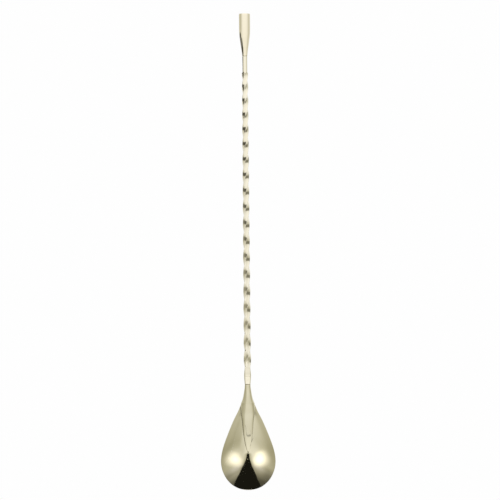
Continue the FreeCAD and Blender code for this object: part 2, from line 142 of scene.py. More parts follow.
def make_mesh(name, points, faces):
    """Object from points given as (x, y, station)."""
    points = np.array(points, float)
    points[:, 2] = height(points[:, 2])
    mesh = bpy.data.meshes.new(name)
    mesh.from_pydata((points * MM).tolist(), [], faces)
    mesh.update()
    shade_smooth(mesh)
    piece = bpy.data.objects.new(name, mesh)
    bpy.context.scene.collection.objects.link(piece)
    return piece


def make_solid(name, points, faces):
    """Closed piece, welded, with every face pointing outwards."""
    piece = make_mesh(name, points, faces)
    mesh = piece.data
    welded = bmesh.new()
    welded.from_mesh(mesh)
    bmesh.ops.remove_doubles(welded, verts=welded.verts, dist=2e-7)
    bmesh.ops.dissolve_degenerate(welded, edges=welded.edges, dist=1e-7)
    bmesh.ops.recalc_face_normals(welded, faces=welded.faces)
    welded.to_mesh(mesh)
    welded.free()
    shade_smooth(mesh)  # faces remade by the dissolve too
    mesh.update()
    return piece


def level(x, y, station):
    """Points at one station."""
    return np.column_stack([x, y, np.full(len(x), station)])


def circle(radius, station, count):
    angle = 2 * np.pi * np.arange(count) / count
    return level(radius * np.cos(angle), radius * np.sin(angle), station)


def ring_rows(rings, start=0):
    """Vertex numbers of each ring, all with the same point count."""
    count = len(rings[0])
    return [range(start + k * count, start + (k + 1) * count) for k in range(len(rings))]


def bands(rows):
    """Quads joining each closed row of vertex numbers to the next."""
    faces = []
    for one, two in zip(rows[:-1], rows[1:]):
        for i in range(len(one)):
            j = (i + 1) % len(one)
            faces.append((one[i], one[j], two[j], two[i]))
    return faces


def fan(row, hub):
    return [(row[i], row[(i + 1) % len(row)], hub) for i in range(len(row))]


def capped_solid(name, rings):
    """Skin through the rings, closed with a fan at both ends."""
    rows = ring_rows(rings)
    hub = len(rings) * len(rings[0])
    caps = [np.mean(rings[0], axis=0), np.mean(rings[-1], axis=0)]
    faces = bands(rows) + fan(rows[0], hub) + fan(rows[-1], hub + 1)
    return make_solid(name, np.vstack(list(rings) + caps), faces)


# ------------------------------------------------------------------ dish surfaces
# Half outline: station, half width.
OUTLINE = (
    (0.0, 0.0), (0.5, 4.23), (1.5, 7.15), (3.0, 9.76), (5.0, 12.07),
    (8.0, 14.39), (11.0, 15.89), (14.5, 16.91), (18.5, 17.27), (22.5, 16.90),
    (27.0, 15.83), (32.0, 14.12), (37.0, 12.16), (42.0, 10.06), (46.0, 8.18),
    (50.0, 6.13), (52.0, 5.27), (54.0, 4.42), (56.0, 3.30), (58.0, 2.50),
    (61.0, 1.90))
# Outer face: station, depth on the centre line, rise per x squared.
SECTION = np.array([
    (-2.0, -1.22, 0.01700), (0.0, 0.0, 0.01700), (2.0, 1.180, 0.01756),
    (4.0, 2.250, 0.01863), (6.0, 3.250, 0.01941), (8.0, 4.150, 0.02005),
    (10.0, 4.950, 0.02066), (12.0, 5.630, 0.02127), (14.0, 6.200, 0.02190),
    (16.0, 6.670, 0.02270), (18.0, 7.050, 0.02367), (20.0, 7.340, 0.02481),
    (22.5, 7.550, 0.02643), (25.0, 7.620, 0.02836), (28.0, 7.430, 0.03080),
    (32.0, 6.980, 0.03501), (36.0, 6.380, 0.04045), (38.0, 6.050, 0.04382),
    (40.0, 5.705, 0.04784), (42.0, 5.350, 0.05286), (44.0, 4.970, 0.05924),
    (46.0, 4.550, 0.06800), (48.0, 4.080, 0.08026), (50.0, 3.550, 0.09447),
    (52.0, 2.930, 0.10550), (54.0, 2.220, 0.10600), (57.0, 1.250, 0.05000),
    (60.0, 0.920, 0.01000), (63.0, 0.900, 0.00000)])
# Against the root of the station, so that the tip comes out round.
width_by_root = Spline([(math.sqrt(station), width) for station, width in OUTLINE])
dish_depth = Spline(SECTION[:, (0, 1)])
dish_curve = Spline(SECTION[:, (0, 2)])


def half_width(station):
    return width_by_root(np.sqrt(station))


def outer_y(x, station):
    """Convex face, towards -Y."""
    return RIM_Y - LAND_DROP - dish_depth(station) + dish_curve(station) * x * x


def slopes(face, x, station, reach):
    """Slope of a face along x and along the station."""
    return ((face(x + reach, station) - face(x - reach, station)) / (2 * reach),
            (face(x, station + reach) - face(x, station - reach)) / (2 * reach))


def hollow_y(x, station):
    """Outer face offset by the sheet's thickness, towards +Y."""
    slope_x, slope_z = slopes(outer_y, x, station, reach=0.04)
    return outer_y(x, station) + SHEET * np.sqrt(1 + slope_x ** 2 + slope_z ** 2)


def inner_y(x, station):
    """Hollow and flat rim together."""
    return soft_min(RIM_Y, hollow_y(x, station), RIM_SOFTNESS)


# ------------------------------------------------------------------ dish
def dish_outline():
    """Closed outline as (x, station), evenly spaced, with rounded tongue corners."""
    corner_start = TONGUE_END - TONGUE_CORNER
    station = corner_start * np.linspace(0, 1, 1200) ** 2
    side = np.stack([half_width(station), station], axis=1)
    corner_x = side[-1, 0] - TONGUE_CORNER
    angle = quarter_turn(41)[1:-1]
    corner = np.stack([corner_x + TONGUE_CORNER * np.cos(angle),
                       corner_start + TONGUE_CORNER * np.sin(angle)], axis=1)
    end = [(x, TONGUE_END) for x in np.linspace(corner_x, 0, 12)]
    right = np.concatenate([side, corner, end])
    left = right[::-1] * (-1, 1)
    closed = np.vstack([right[:-1], left[:-1], right[:1]])
    step = np.linalg.norm(np.diff(closed, axis=0), axis=1)
    run = np.concatenate([[0], np.cumsum(step)])
    wanted = np.linspace(0, run[-1], DISH_AROUND, endpoint=False)
    return np.stack([np.interp(wanted, run, closed[:, 0]),
                     np.interp(wanted, run, closed[:, 1])], axis=1)


def inward_normals(loop):
    tangent = np.roll(loop, -1, axis=0) - np.roll(loop, 1, axis=0)
    for _ in range(3):
        tangent = (np.roll(tangent, 1, axis=0) + tangent * 2 + np.roll(tangent, -1, axis=0)) / 4
    tangent /= np.linalg.norm(tangent, axis=1)[:, None]
    return np.stack([-tangent[:, 1], tangent[:, 0]], axis=1)


def on_face(plan, face):
    """Plan points (x, station) raised onto a face."""
    return np.stack([plan[:, 0], face(plan[:, 0], plan[:, 1]), plan[:, 1]], axis=1)


def land_width(loop, offset):
    """Width of the rim's flat land: how far in the hollow drops below the rim."""
    least = 0.5
    land = np.full(DISH_AROUND, least)
    found = np.zeros(DISH_AROUND, bool)
    for distance in np.linspace(0.05, 2.6, 120):
        plan = offset(distance)
        below = hollow_y(plan[:, 0], plan[:, 1]) < RIM_Y
        land[below & ~found] = max(distance, least)
        found |= below
    for _ in range(12):
        land = (np.roll(land, 1) + 2 * land + np.roll(land, -1)) / 4
    # Narrower on the tongue, to keep the offsets inside its corners.
    tongue = smooth(55.5, 58.5, loop[:, 1])
    return land * (1 - tongue) + 0.33 * tongue


def place_on_square(across, along, ring):
    """Steps round a square ring, from the middle of its lower side towards +x."""
    if along == -ring and across < ring:
        return across
    if across == ring and along < ring:
        return 2 * ring + along
    if along == ring and across > -ring:
        return 4 * ring - across
    return 6 * ring - along


def dish_patch(edge, face):
    """Grid of square rings inside an edge loop, without a pole.

    Returns the points, the faces and the vertex numbers along the edge.
    """
    side = 2 * GRID_HALF + 1
    number = np.arange(side * side).reshape(side, side)
    crowding = 0.94  # below 1 moves the rings slightly outwards
    plan = []
    border = [0] * DISH_AROUND
    for i in range(side):
        for j in range(side):
            across, along = i - GRID_HALF, j - GRID_HALF
            ring = max(abs(across), abs(along))
            if ring == 0:
                plan.append(DISH_CENTRE)
                continue
            place = place_on_square(across, along, ring)
            if ring == GRID_HALF:
                border[place % DISH_AROUND] = number[i, j]
            run = place / (8.0 * ring) % 1.0 * DISH_AROUND
            first = int(run)
            part = run - first
            target = edge[first] * (1 - part) + edge[(first + 1) % DISH_AROUND] * part
            reach = (ring / GRID_HALF) ** crowding
            plan.append(DISH_CENTRE + (target - DISH_CENTRE) * reach)
    faces = []
    for i in range(side - 1):
        for j in range(side - 1):
            low_left, low_right = number[i, j], number[i + 1, j]
            high_left, high_right = number[i, j + 1], number[i + 1, j + 1]
            # Cells on the diagonals are split from the centre outwards or across.
            if i == j:
                faces += [(low_left, low_right, high_right), (low_left, high_right, high_left)]
            elif i + j + 1 == 2 * GRID_HALF:
                faces += [(low_left, low_right, high_left), (low_right, high_right, high_left)]
            else:
                faces.append((low_left, low_right, high_right, high_left))
    return on_face(np.array(plan), face), faces, border


def set_exact_normals(mesh):
    """Normals taken from the formulas on both smooth faces, for clean reflections."""
    normal = np.array([tuple(vertex.normal) for vertex in mesh.vertices])
    x, y, z = np.array([tuple(vertex.co) for vertex in mesh.vertices]).T / MM
    station = z - TIP
    touching = 3e-4   # mm between vertex and face
    agreement = 0.96  # least cosine between old and exact normal
    for face, sign in ((outer_y, -1.0), (inner_y, 1.0)):
        slope_x, slope_z = slopes(face, x, station, reach=0.03)
        exact = np.stack([-slope_x * sign, np.full(len(x), sign), -slope_z * sign], axis=1)
        exact /= np.linalg.norm(exact, axis=1)[:, None]
        chosen = np.abs(y - face(x, station)) < touching
        chosen &= np.sum(exact * normal, axis=1) > agreement
        normal[chosen] = exact[chosen]
    mesh.normals_split_custom_set_from_vertices(normal.tolist())
    mesh.update()


def build_dish():
    loop = dish_outline()
    inward = inward_normals(loop)

    def offset(distance):
        return loop + inward * np.reshape(distance, (-1, 1))

    land = land_width(loop, offset)
    outer_edge = offset(0.36)

    # Rounded edge: a Bezier from the outer face to the land of the rim.
    start = on_face(outer_edge, outer_y)
    start_pull = on_face(loop, outer_y)
    end_pull = on_face(loop, inner_y)
    end = on_face(offset(0.30 * land), inner_y)
    rings = [(1 - s) ** 3 * start + 3 * s * (1 - s) ** 2 * start_pull
             + 3 * s * s * (1 - s) * end_pull + s ** 3 * end
             for s in np.linspace(0, 1, 13)[1:]]
    # Across the land and over its inner edge, in shares of its width.
    for share in (0.45, 0.6, 0.75, 0.85, 0.92, 0.97, 1.02, 1.08, 1.16, 1.28, 1.45, 1.7):
        rings.append(on_face(offset(share * land), inner_y))

    outer, outer_faces, outer_border = dish_patch(outer_edge, outer_y)
    inner, inner_faces, inner_border = dish_patch(offset(2.0 * land), inner_y)
    inner_start = len(outer) + len(rings) * DISH_AROUND
    rows = ([outer_border] + ring_rows(rings, len(outer))
            + [[inner_start + k for k in inner_border]])
    faces = outer_faces + bands(rows)
    faces += [tuple(inner_start + k for k in face) for face in inner_faces]
    piece = make_solid("bowl_dish_skin", np.concatenate([outer] + rings + [inner]), faces)
    set_exact_normals(piece.data)
    return piece


# ------------------------------------------------------------------ neck
# Each table: station, then the value named.
NECK_HALF = Spline([  # half width
    (67.5, 1.79), (66.5, 1.80), (65.3, 1.83), (63.4, 2.07), (61.5, 2.37), (59.6, 2.71),
    (57.7, 3.14), (55.8, 3.82), (54.6, 4.27), (53.5, 4.42), (52, 4.40), (50, 4.20),
    (48, 3.96), (46, 3.72), (43.3, 3.36), (40, 3.08), (37, 2.80), (34, 2.42),
    (31.4, 2.00), (28.5, 1.45), (26.0, 0.88), (24.4, 0.42), (23.0, 0.10)])
STRIP_RISE = Spline([  # height of the strip off the dish, towards -Y
    (54.6, 1.95), (52, 1.45), (50, 1.15), (48, 0.94), (46, 0.86), (43, 0.78), (40, 0.69),
    (37, 0.57), (34, 0.44), (31.4, 0.335), (28.5, 0.26), (26, 0.21), (24.4, 0.155),
    (23.4, 0.08)])
NECK_NEAR = Spline([  # y of the -Y side above the strip
    (66.5, -1.79), (64.5, -2.03), (61.5, -2.53), (58.5, -3.03), (56.5, -3.31), (54.6, -3.56)])
NECK_FAR = Spline([  # y of the +Y side
    (67, 1.79), (66.5, 1.78), (64.5, 1.72), (62, 1.45), (59.5, 1.14), (57.5, 0.93),
    (56, 0.74), (54.6, 0.44), (53.6, 0.08), (52.8, -0.40), (52, -1.00), (51, -1.98),
    (50, -3.0)])
NECK_MID = Spline([  # y of the widest point
    (66.5, 0.0), (64.5, -0.08), (61.5, -0.22), (58.5, -0.25), (56.5, -0.1), (55.2, 0.05)])


def neck_half(station):
    return max(float(NECK_HALF(station)), MIN_NECK_HALF)


def neck_near(station):
    on_dish = outer_y(0.0, station) - STRIP_RISE(station)
    free = smooth(52.5, 56.5, station)
    return float(on_dish * (1 - free) + NECK_NEAR(station) * free)


def neck_angles():
    return 2 * np.pi * (np.arange(NECK_COUNT) + 0.5) / NECK_COUNT


def neck_ring(station):
    """Closed cross-section of neck and strip; positive sines lie towards -Y."""
    angle = neck_angles()
    across, depth = np.cos(angle), np.sin(angle)
    half = neck_half(station)
    near = neck_near(station)

    # Shares that change the section on its way down.
    square = smooth(60.5, 66.3, station)       # squarer towards the shaft
    tail = 1 - smooth(50.0, 61.5, station)     # more pointed towards the strip
    strip = 1 - smooth(53.4, 56.0, station)    # widest point lies on the dish
    walled = 1 - smooth(50.5, 57.5, station)   # short upright side wall

    side_power = 1 - 0.30 * square
    x = half * np.sign(across) * np.abs(across) ** side_power
    on_dish = outer_y(half, station) - STRIP_SINK
    mid = strip * on_dish + (1 - strip) * NECK_MID(station)
    wall_top = mid - walled * min(0.24, 0.35 * (mid - near))

    near_power = (1 - tail) * side_power + tail * 1.22
    y_near = wall_top - (wall_top - near) * np.abs(depth) ** near_power
    far_power = (0.45 + 0.25 * smooth(57.5, 61.5, station)
                 + 0.3 * smooth(60.5, 63.5, station) * (1 - square))
    y_far = mid + (NECK_FAR(station) - mid) * np.abs(depth) ** far_power
    if station < 56.0:
        # The +Y side settles onto the back of the dish.
        floor = outer_y(x, station) - STRIP_SINK
        free = smooth(49.8, 51.2, station)
        y_far = floor * (1 - free) + soft_max(floor, y_far, 0.05) * free
    return level(x, np.where(depth > 0, y_near, y_far), station)


def build_neck():
    angle = neck_angles()
    rings = []
    # Socket, from its bottom up to the mouth: radius, depth below the neck's end.
    for radius, depth in (
            (SOCKET_RADIUS - 0.15, 6.2), (SOCKET_RADIUS, 6.05), (SOCKET_RADIUS, 3.0),
            (SOCKET_RADIUS, 0.08), (SOCKET_RADIUS + 0.06, 0.0)):
        rings.append(level(radius * np.cos(angle), -radius * np.sin(angle), NECK_END - depth))
    # Rounded edge of the end face.
    end_half, rounding = 1.80, 0.16
    edge = neck_ring(NECK_END)
    for turned in quarter_turn(7):
        scale = (end_half - rounding * (1 - math.sin(turned))) / end_half
        station = NECK_END - rounding * (1 - math.cos(turned))
        rings.append(level(edge[:, 0] * scale, edge[:, 1] * scale, station))
    for start, end, step in ((66.2, 50.0, -0.16), (50.0, 26.0, -0.22), (26.0, 23.85, -0.10)):
        rings += [neck_ring(station) for station in np.arange(start, end, step)]
    return capped_solid("rat_tail_neck_skin", rings)


# ------------------------------------------------------------------ filler under the strip
BEAD_SHARES = (1.0, 0.55, 0.2)             # of the bead's width, from its outer edge in
LEFT_LIFTS = (0.0, 0.035, 0.10, 0.19)      # off the dish, towards -Y; last one on the strip
RIGHT_LIFTS = (0.0, 0.03, 0.09, 0.16)


def film_ring(station):
    """Thin layer on the dish with a hollow bead each side, wider at the left (-X); with its
    very dark filler it is partly painted shade along the strip's left edge.
    """
    count = 28
    room = float(half_width(station)) - 0.45
    half = min(neck_half(station), room)
    left_bead = min(0.24 * smooth(23.8, 30.0, station) + 0.06, max(room - half, 0.02))
    right_bead = 0.35 * left_bead

    def bead(width, lifts):
        reach = [half + width * share for share in BEAD_SHARES] + [half - 0.01]
        return list(zip(reach, lifts))

    row = [(-x, lift) for x, lift in bead(left_bead, LEFT_LIFTS)]
    row += [(x * half * 0.97, STRIP_SINK) for x in np.linspace(-1, 1, count)]
    row += bead(right_bead, RIGHT_LIFTS)[::-1]
    row += [(x, 0.001) for x in np.linspace(half + right_bead, -half - left_bead, count)[1:-1]]
    x, lift = np.array(row).T
    return level(x, outer_y(x, station) - lift, station)


def build_film():
    stations = np.concatenate([np.arange(54.4, 26.0, -0.3), np.arange(26.0, 23.8, -0.12)])
    return capped_solid("tail_braze_film_skin", [film_ring(station) for station in stations])


# ------------------------------------------------------------------ shaft
# Swelling above the neck: station, width across flats, corner radius.
SWELLING = np.array([
    (66.7, 3.62, 0.98), (68.5, 3.86, 0.88), (70.3, 4.18, 0.90), (72.2, 4.36, 0.95),
    (74.2, 4.12, 0.78), (76.0, 3.68, 0.46), (77.5, 3.42, 0.24), (79.5, 3.355, 0.18)])
swelling_flats = Spline(SWELLING[:, (0, 1)])
swelling_corner = Spline(SWELLING[:, (0, 2)])
SWELLING_END = 79.4
TWIST_START = 77.44
TWIST_END = 263.2
TWIST_RINGS_START = 77.5
FLATS_LOW, FLATS_HIGH = 3.36, 2.82  # across flats at both ends of the twist
TWIST_CORNER = 0.18
ROD_RADIUS = 1.525
ROD_END = 273.2


def square_points(flats, corner):
    """Rounded square with flats across x and y, counter-clockwise."""
    half = flats / 2.0
    edge = half - corner
    side = [(half, y) for y in np.linspace(-edge, edge, 8)[1:-1]]
    side += [(edge + corner * math.cos(angle), edge + corner * math.sin(angle))
             for angle in quarter_turn(9)]
    side = np.array(side)
    return np.concatenate([turn(side, quarter * math.pi / 2) for quarter in range(4)])


def turn(points, angle):
    c, s = math.cos(angle), math.sin(angle)
    return np.stack([points[:, 0] * c - points[:, 1] * s,
                     points[:, 0] * s + points[:, 1] * c], axis=1)


def twist(station):
    """Angle of the square section, from a cubic fit in degrees about station 170."""
    u = station - 170.0
    return math.radians(8.69104 * u + 0.00564186 * u * u + 0.0000374298 * u ** 3)


def build_shaft():
    base = square_points(3.0, 0.3)
    angle = np.arctan2(base[:, 1], base[:, 0])  # bearings shared by all round rings
    rings = []

    def add(points, station):
        rings.append(level(points[:, 0], points[:, 1], station))

    def round_section(radius, phase):
        return radius * np.stack([np.cos(angle + phase), np.sin(angle + phase)], axis=1)

    # Lower pin, up to the shoulder.
    for radius, station in (
            (PIN_RADIUS - 0.30, 61.1), (PIN_RADIUS, 61.4), (PIN_RADIUS, 63.0),
            (PIN_RADIUS, SHAFT_START - 0.05), (PIN_RADIUS + 0.05, SHAFT_START)):
        add(round_section(radius, 0.0), station)

    # Rounded edge of the shoulder, then the swelling.
    rounding = 0.14
    shoulder = float(swelling_flats(SHAFT_START + rounding))
    for turned in quarter_turn(7):
        flats = shoulder - 2 * rounding * (1 - math.sin(turned))
        add(square_points(flats, float(swelling_corner(SHAFT_START))),
            SHAFT_START + rounding * (1 - math.cos(turned)))
    for station in np.arange(67.1, 77.4, 0.24):
        add(square_points(float(swelling_flats(station)), float(swelling_corner(station))),
            station)

    # Twisted square, turning into the round rod at its upper end.
    for station in np.arange(TWIST_RINGS_START, TWIST_END + 0.9, 0.28):
        if station < SWELLING_END:
            flats = float(swelling_flats(station))
            corner = float(swelling_corner(station))
        else:
            part = (station - TWIST_RINGS_START) / (TWIST_END - TWIST_RINGS_START)
            flats = FLATS_LOW + part * (FLATS_HIGH - FLATS_LOW)
            corner = TWIST_CORNER
        phase = twist(station) - twist(TWIST_START)
        rounded = float(smooth(262.35, 263.25, station))
        add(turn(square_points(flats, corner), phase) * (1 - rounded)
            + round_section(ROD_RADIUS, phase) * rounded, station)

    # Rod, rounded edge and upper pin keep the last phase.
    rounding = 0.06
    end = [(ROD_RADIUS, station) for station in (264.5, 266.0, 268.0, 270.0, 272.0, 273.0)]
    end += [(ROD_RADIUS - rounding * (1 - math.cos(turned)),
             ROD_END - rounding + rounding * math.sin(turned)) for turned in quarter_turn(5)]
    end += [(PIN_RADIUS + 0.05, ROD_END), (PIN_RADIUS, ROD_END + 0.05), (PIN_RADIUS, 278.0),
            (PIN_RADIUS, 282.2), (PIN_RADIUS - 0.30, 282.5)]
    for radius, station in end:
        add(round_section(radius, phase), station)
    return capped_solid("twisted_shaft_skin", rings)


# ------------------------------------------------------------------ turned pieces
# Weight profile: (radius, station) where its straight and arched parts meet.
CONE_FOOT = (1.605, WEIGHT_START + 0.15)
CONE_WAIST = (2.285, 278.7)
CONE_SHOULDER = (3.08, 284.6)
CYLINDER_START = (3.4985, 291.2)
CYLINDER_RADIUS = CYLINDER_START[0]
END_ROUNDING = 0.5


def arc(start, end, radius, side, steps):
    """Points after start up to end; side 1 curves about a centre at the larger radius."""
    step = np.subtract(end, start)
    length = math.hypot(*step)
    sag = math.sqrt(radius ** 2 - (length / 2) ** 2)
    middle = np.add(start, end) / 2
    centre_x = middle[0] + side * step[1] / length * sag
    centre_y = middle[1] - side * step[0] / length * sag
    first = math.atan2(start[1] - centre_y, start[0] - centre_x)
    last = math.atan2(end[1] - centre_y, end[0] - centre_x)
    return [(centre_x + radius * math.cos(angle), centre_y + radius * math.sin(angle))
            for angle in np.linspace(first, last, steps + 1)[1:]]


def straight(start, end, steps=12):
    """Points after start up to end."""
    return np.linspace(start, end, steps + 1)[1:].tolist()


def build_weight():
    # Socket from its bottom to the mouth, then the lower face.
    profile = [
        (SOCKET_RADIUS - 0.3, 282.8), (SOCKET_RADIUS, 282.6), (SOCKET_RADIUS, 279.0),
        (SOCKET_RADIUS, 274.0), (SOCKET_RADIUS, WEIGHT_START + 0.1),
        (SOCKET_RADIUS + 0.07, WEIGHT_START), (1.50, WEIGHT_START),
        (1.56, WEIGHT_START + 0.01), (1.60, WEIGHT_START + 0.06)]
    profile += arc(CONE_FOOT, CONE_WAIST, radius=60.0, side=1, steps=22)
    profile += straight(CONE_WAIST, CONE_SHOULDER)
    profile += arc(CONE_SHOULDER, CYLINDER_START, radius=52.07, side=-1, steps=16)
    profile += straight(CYLINDER_START, (CYLINDER_RADIUS, 299.4))
    profile += [(CYLINDER_RADIUS - END_ROUNDING + END_ROUNDING * math.cos(angle),
                 SPOON_LENGTH - END_ROUNDING + END_ROUNDING * math.sin(angle))
                for angle in quarter_turn(12)[1:]]
    profile += [(radius, SPOON_LENGTH) for radius in (2.85, 2.6, 2.2, 1.6, 1.0, 0.5, 0.15)]
    return capped_solid("end_weight_skin",
                        [circle(radius, station, 160) for radius, station in profile])


def build_filler_ring(name, joint, profile):
    """Closed profile turned round the axis: radius, height above the joint."""
    rings = [circle(radius, joint + rise, 120) for radius, rise in profile]
    rows = ring_rows(rings)
    return make_solid(name, np.concatenate(rings), bands(rows + rows[:1]))


def build_weight_ring():
    return build_filler_ring("weight_braze_ring_skin", WEIGHT_START, (
        (FILLER_INNER, -0.09), (1.50, -0.09), (1.575, -0.08), (1.60, -0.045),
        (1.585, -0.01), (1.53, -0.002), (FILLER_OUTER, -0.002), (FILLER_OUTER, 4.0),
        (FILLER_OUTER, 8.9), (FILLER_INNER, 8.9), (FILLER_INNER, 4.0)))


def build_neck_ring():
    return build_filler_ring("neck_braze_ring_skin", NECK_END, (
        (FILLER_INNER, -5.2), (FILLER_OUTER, -5.2), (FILLER_OUTER, -2.0),
        (FILLER_OUTER, 0.005), (1.66, 0.005), (1.735, 0.03), (1.758, 0.10),
        (1.735, 0.17), (1.66, 0.195), (FILLER_INNER, 0.195), (FILLER_INNER, -2.0)))


# ------------------------------------------------------------------ shader graphs
class Signal:
    """Output socket that can be used in arithmetic; each operation adds a node."""

    def __init__(self, graph, socket):
        self.graph = graph
        self.socket = socket

    def __add__(self, other):
        return self.graph.math("ADD", self, other)

    def __radd__(self, other):
        return self.graph.math("ADD", other, self)

    def __sub__(self, other):
        return self.graph.math("SUBTRACT", self, other)

    def __rsub__(self, other):
        return self.graph.math("SUBTRACT", other, self)

    def __mul__(self, other):
        return self.graph.math("MULTIPLY", self, other)

    def __rmul__(self, other):
        return self.graph.math("MULTIPLY", other, self)

    def __truediv__(self, other):
        return self.graph.math("DIVIDE", self, other)

    def __abs__(self):
        return self.graph.math("ABSOLUTE", self)

    def remap(self, start, end, first, last, easing="LINEAR"):
        """First at start to last at end, level beyond."""
        return self.graph.signal(
            "MapRange", {"Value": self, "From Min": start, "From Max": end,
                         "To Min": first, "To Max": last}, interpolation_type=easing)

    def fade(self, start, end, first=0.0, last=1.0):
        """Eased remap; start may lie above end."""
        if start > end:
            start, end, first, last = end, start, last, first
        return self.remap(start, end, first, last, easing="SMOOTHSTEP")

    def curve(self, points):
        """Smooth curve through ascending (x, y) points, level beyond the ends."""
        x_low, x_high = points[0][0], points[-1][0]
        y_low = min(y for _, y in points)
        y_high = max(y for _, y in points)
        share = self.remap(x_low, x_high, 0.0, 1.0)
        node = self.graph.node("FloatCurve", {"Value": share})
        knots = node.mapping.curves[0].points
        while len(knots) < len(points):
            knots.new(0.5, 0.5)
        for knot, (x, y) in zip(knots, points):
            knot.location = ((x - x_low) / (x_high - x_low), (y - y_low) / (y_high - y_low))
        node.mapping.update()
        return Signal(self.graph, node.outputs[0]) * (y_high - y_low) + y_low

    def darken(self, mask, by):
        return self * (1.0 - mask * by)

    def brighten(self, mask, by):
        return self * (1.0 + mask * by)


class Graph:
    """Builds nodes in an emptied tree. Inputs are numbers, colours or signals."""

    def __init__(self, tree):
        self.tree = tree
        tree.nodes.clear()

    def node(self, kind, inputs, **settings):
        node = self.tree.nodes.new("ShaderNode" + kind)
        for key, value in settings.items():
            setattr(node, key, value)
        for key, value in inputs.items():
            if isinstance(value, Signal):
                self.tree.links.new(value.socket, node.inputs[key])
            else:
                node.inputs[key].default_value = value
        return node

    def signal(self, kind, inputs=None, output=0, **settings):
        return Signal(self, self.node(kind, inputs or {}, **settings).outputs[output])

    def math(self, operation, *values):
        return self.signal("Math", dict(enumerate(values)), operation=operation)

    def mix_colours(self, share, one, two):
        # On a colour mix, inputs 6 and 7 are the colours and output 2 the result.
        return self.signal("Mix", {0: share, 6: one, 7: two}, output=2, data_type="RGBA")

    def noise(self, vector, scale, **inputs):
        """Extra inputs by their names in lower case."""
        named = {key.capitalize(): value for key, value in inputs.items()}
        return self.signal("TexNoise", {"Vector": vector, "Scale": scale, **named})

    def colour_ramp(self, share, stops):
        """Stops: two of (position, colour)."""
        node = self.node("ValToRGB", {"Fac": share})
        for element, (position, colour) in zip(node.color_ramp.elements, stops):
            element.position = position
            element.color = colour + (1,)
        return Signal(self, node.outputs[0])

    def length(self, a, b):
        return self.math("SQRT", a * a + b * b)


def blend(share, one, two):
    """One where share is 0, two where it is 1."""
    return two * share + one * (1.0 - share)


def new_material(name):
    material = bpy.data.materials.new(name)
    material.use_nodes = True
    return material, Graph(material.node_tree)


# ------------------------------------------------------------------ materials
def polished(name, tint, haze, grain, wear, line_stretch):
    """Polished pale gold plate.

    haze: base roughness; grain: roughness added by hairlines; wear: how far convex
    ridges turn pale; line_stretch: z scale of the hairlines (small = long in z).
    """
    material, graph = new_material(name)
    coordinates = graph.signal("TexCoord", output="Object")

    def mapped(*scale):
        return graph.signal("Mapping", {"Vector": coordinates, "Scale": scale})

    def tinted(*factors):
        return tuple(part * factor for part, factor in zip(tint, factors)) + (1,)

    # Colour: uneven over centimetres and over millimetres.
    cloud = graph.noise(mapped(1, 1, 0.6), 55.0, detail=2.0, roughness=0.45)
    mottle = graph.noise(mapped(1, 1, 0.5), 900.0, detail=4.0, roughness=0.6)
    uneven = cloud.remap(0.3, 0.7, 0.0, 0.7) + mottle.remap(0.35, 0.65, 0.0, 0.3)
    plate = graph.mix_colours(uneven, tinted(0.975, 0.965, 0.93), tinted(1.02, 1.03, 1.06))
    # Convex ridges are rubbed to a paler metal.
    pointiness = graph.signal("NewGeometry", output="Pointiness")
    ridge = pointiness.remap(0.56, 0.70, 0.0, wear)
    colour = graph.mix_colours(ridge, plate, (0.93, 0.90, 0.80, 1))

    # Roughness: buffing haze, hairlines, ridges.
    buffing = graph.noise(mapped(1, 1, 1), 140.0, detail=3.0, roughness=0.55)
    lines = graph.noise(mapped(1, 1, line_stretch), 2600.0, detail=3.0, roughness=0.7)
    roughness = (buffing.remap(0.3, 0.7, haze * 0.75, haze * 1.3)
                 + lines.remap(0.62, 0.78, 0.0, grain))
    roughness = roughness + ridge * 0.05

    # Relief in mm: slow waves, hairlines and small pits.
    wave = graph.noise(mapped(1, 1, 0.7), 60.0, detail=1.0, roughness=0.4)
    cells = graph.signal("TexVoronoi", {"Vector": mapped(1, 1, 1), "Scale": 700.0})
    pit = cells.remap(0.0, 0.045, -1.0, 0.0)
    relief = wave * 0.010 + lines * 0.00022 + pit * 0.00025
    bump = graph.signal("Bump", {"Strength": 1.0, "Distance": MM, "Height": relief})
    metal = graph.signal("BsdfPrincipled", {
        "Metallic": 1.0, "Base Color": colour, "Roughness": roughness, "Normal": bump})
    graph.node("OutputMaterial", {"Surface": metal})
    return material


def filler(name, dark, light):
    """Braze filler: satin, grainy, darker and browner than the plate."""
    material, graph = new_material(name)
    coordinates = graph.signal("TexCoord", output="Object")
    grains = graph.noise(coordinates, 2400.0, detail=5.0)
    metal = graph.signal("BsdfPrincipled", {
        "Metallic": 1.0,
        "Base Color": graph.colour_ramp(grains, ((0.35, dark), (0.70, light))),
        "Roughness": grains.remap(0.0, 1.0, 0.28, 0.5),
        "Normal": graph.signal("Bump", {"Distance": 0.00003, "Height": grains})})
    graph.node("OutputMaterial", {"Surface": metal})
    return material


TINT_SHAFT = (0.93, 0.872, 0.705)
TINT_WEIGHT = (0.93, 0.852, 0.660)
# Bowl and neck take the same plate made darker and more saturated: painted shade standing in
# for their dimmer reflections.
TINT_LOW_SHADED = (0.765, 0.712, 0.518)  # bowl and neck
bowl_metal = polished("polished_bowl", TINT_LOW_SHADED,
                      haze=0.060, grain=0.05, wear=0.5, line_stretch=0.25)
neck_metal = polished("polished_neck", TINT_LOW_SHADED,
                      haze=0.050, grain=0.05, wear=0.5, line_stretch=0.10)
shaft_metal = polished("polished_shaft", TINT_SHAFT,
                       haze=0.080, grain=0.08, wear=0.8, line_stretch=0.04)
weight_metal = polished("polished_weight", TINT_WEIGHT,
                        haze=0.060, grain=0.05, wear=0.5, line_stretch=8.0)
ring_filler = filler("braze_filler", dark=(0.38, 0.34, 0.24), light=(0.56, 0.50, 0.36))
# Filler for the film under the strip: a dark joint, darkened further as painted shade along the
# strip's left edge.
tail_filler_and_shade = filler("braze_filler_tail_and_shade", dark=(0.13, 0.11, 0.07), light=(0.30, 0.26, 0.18))

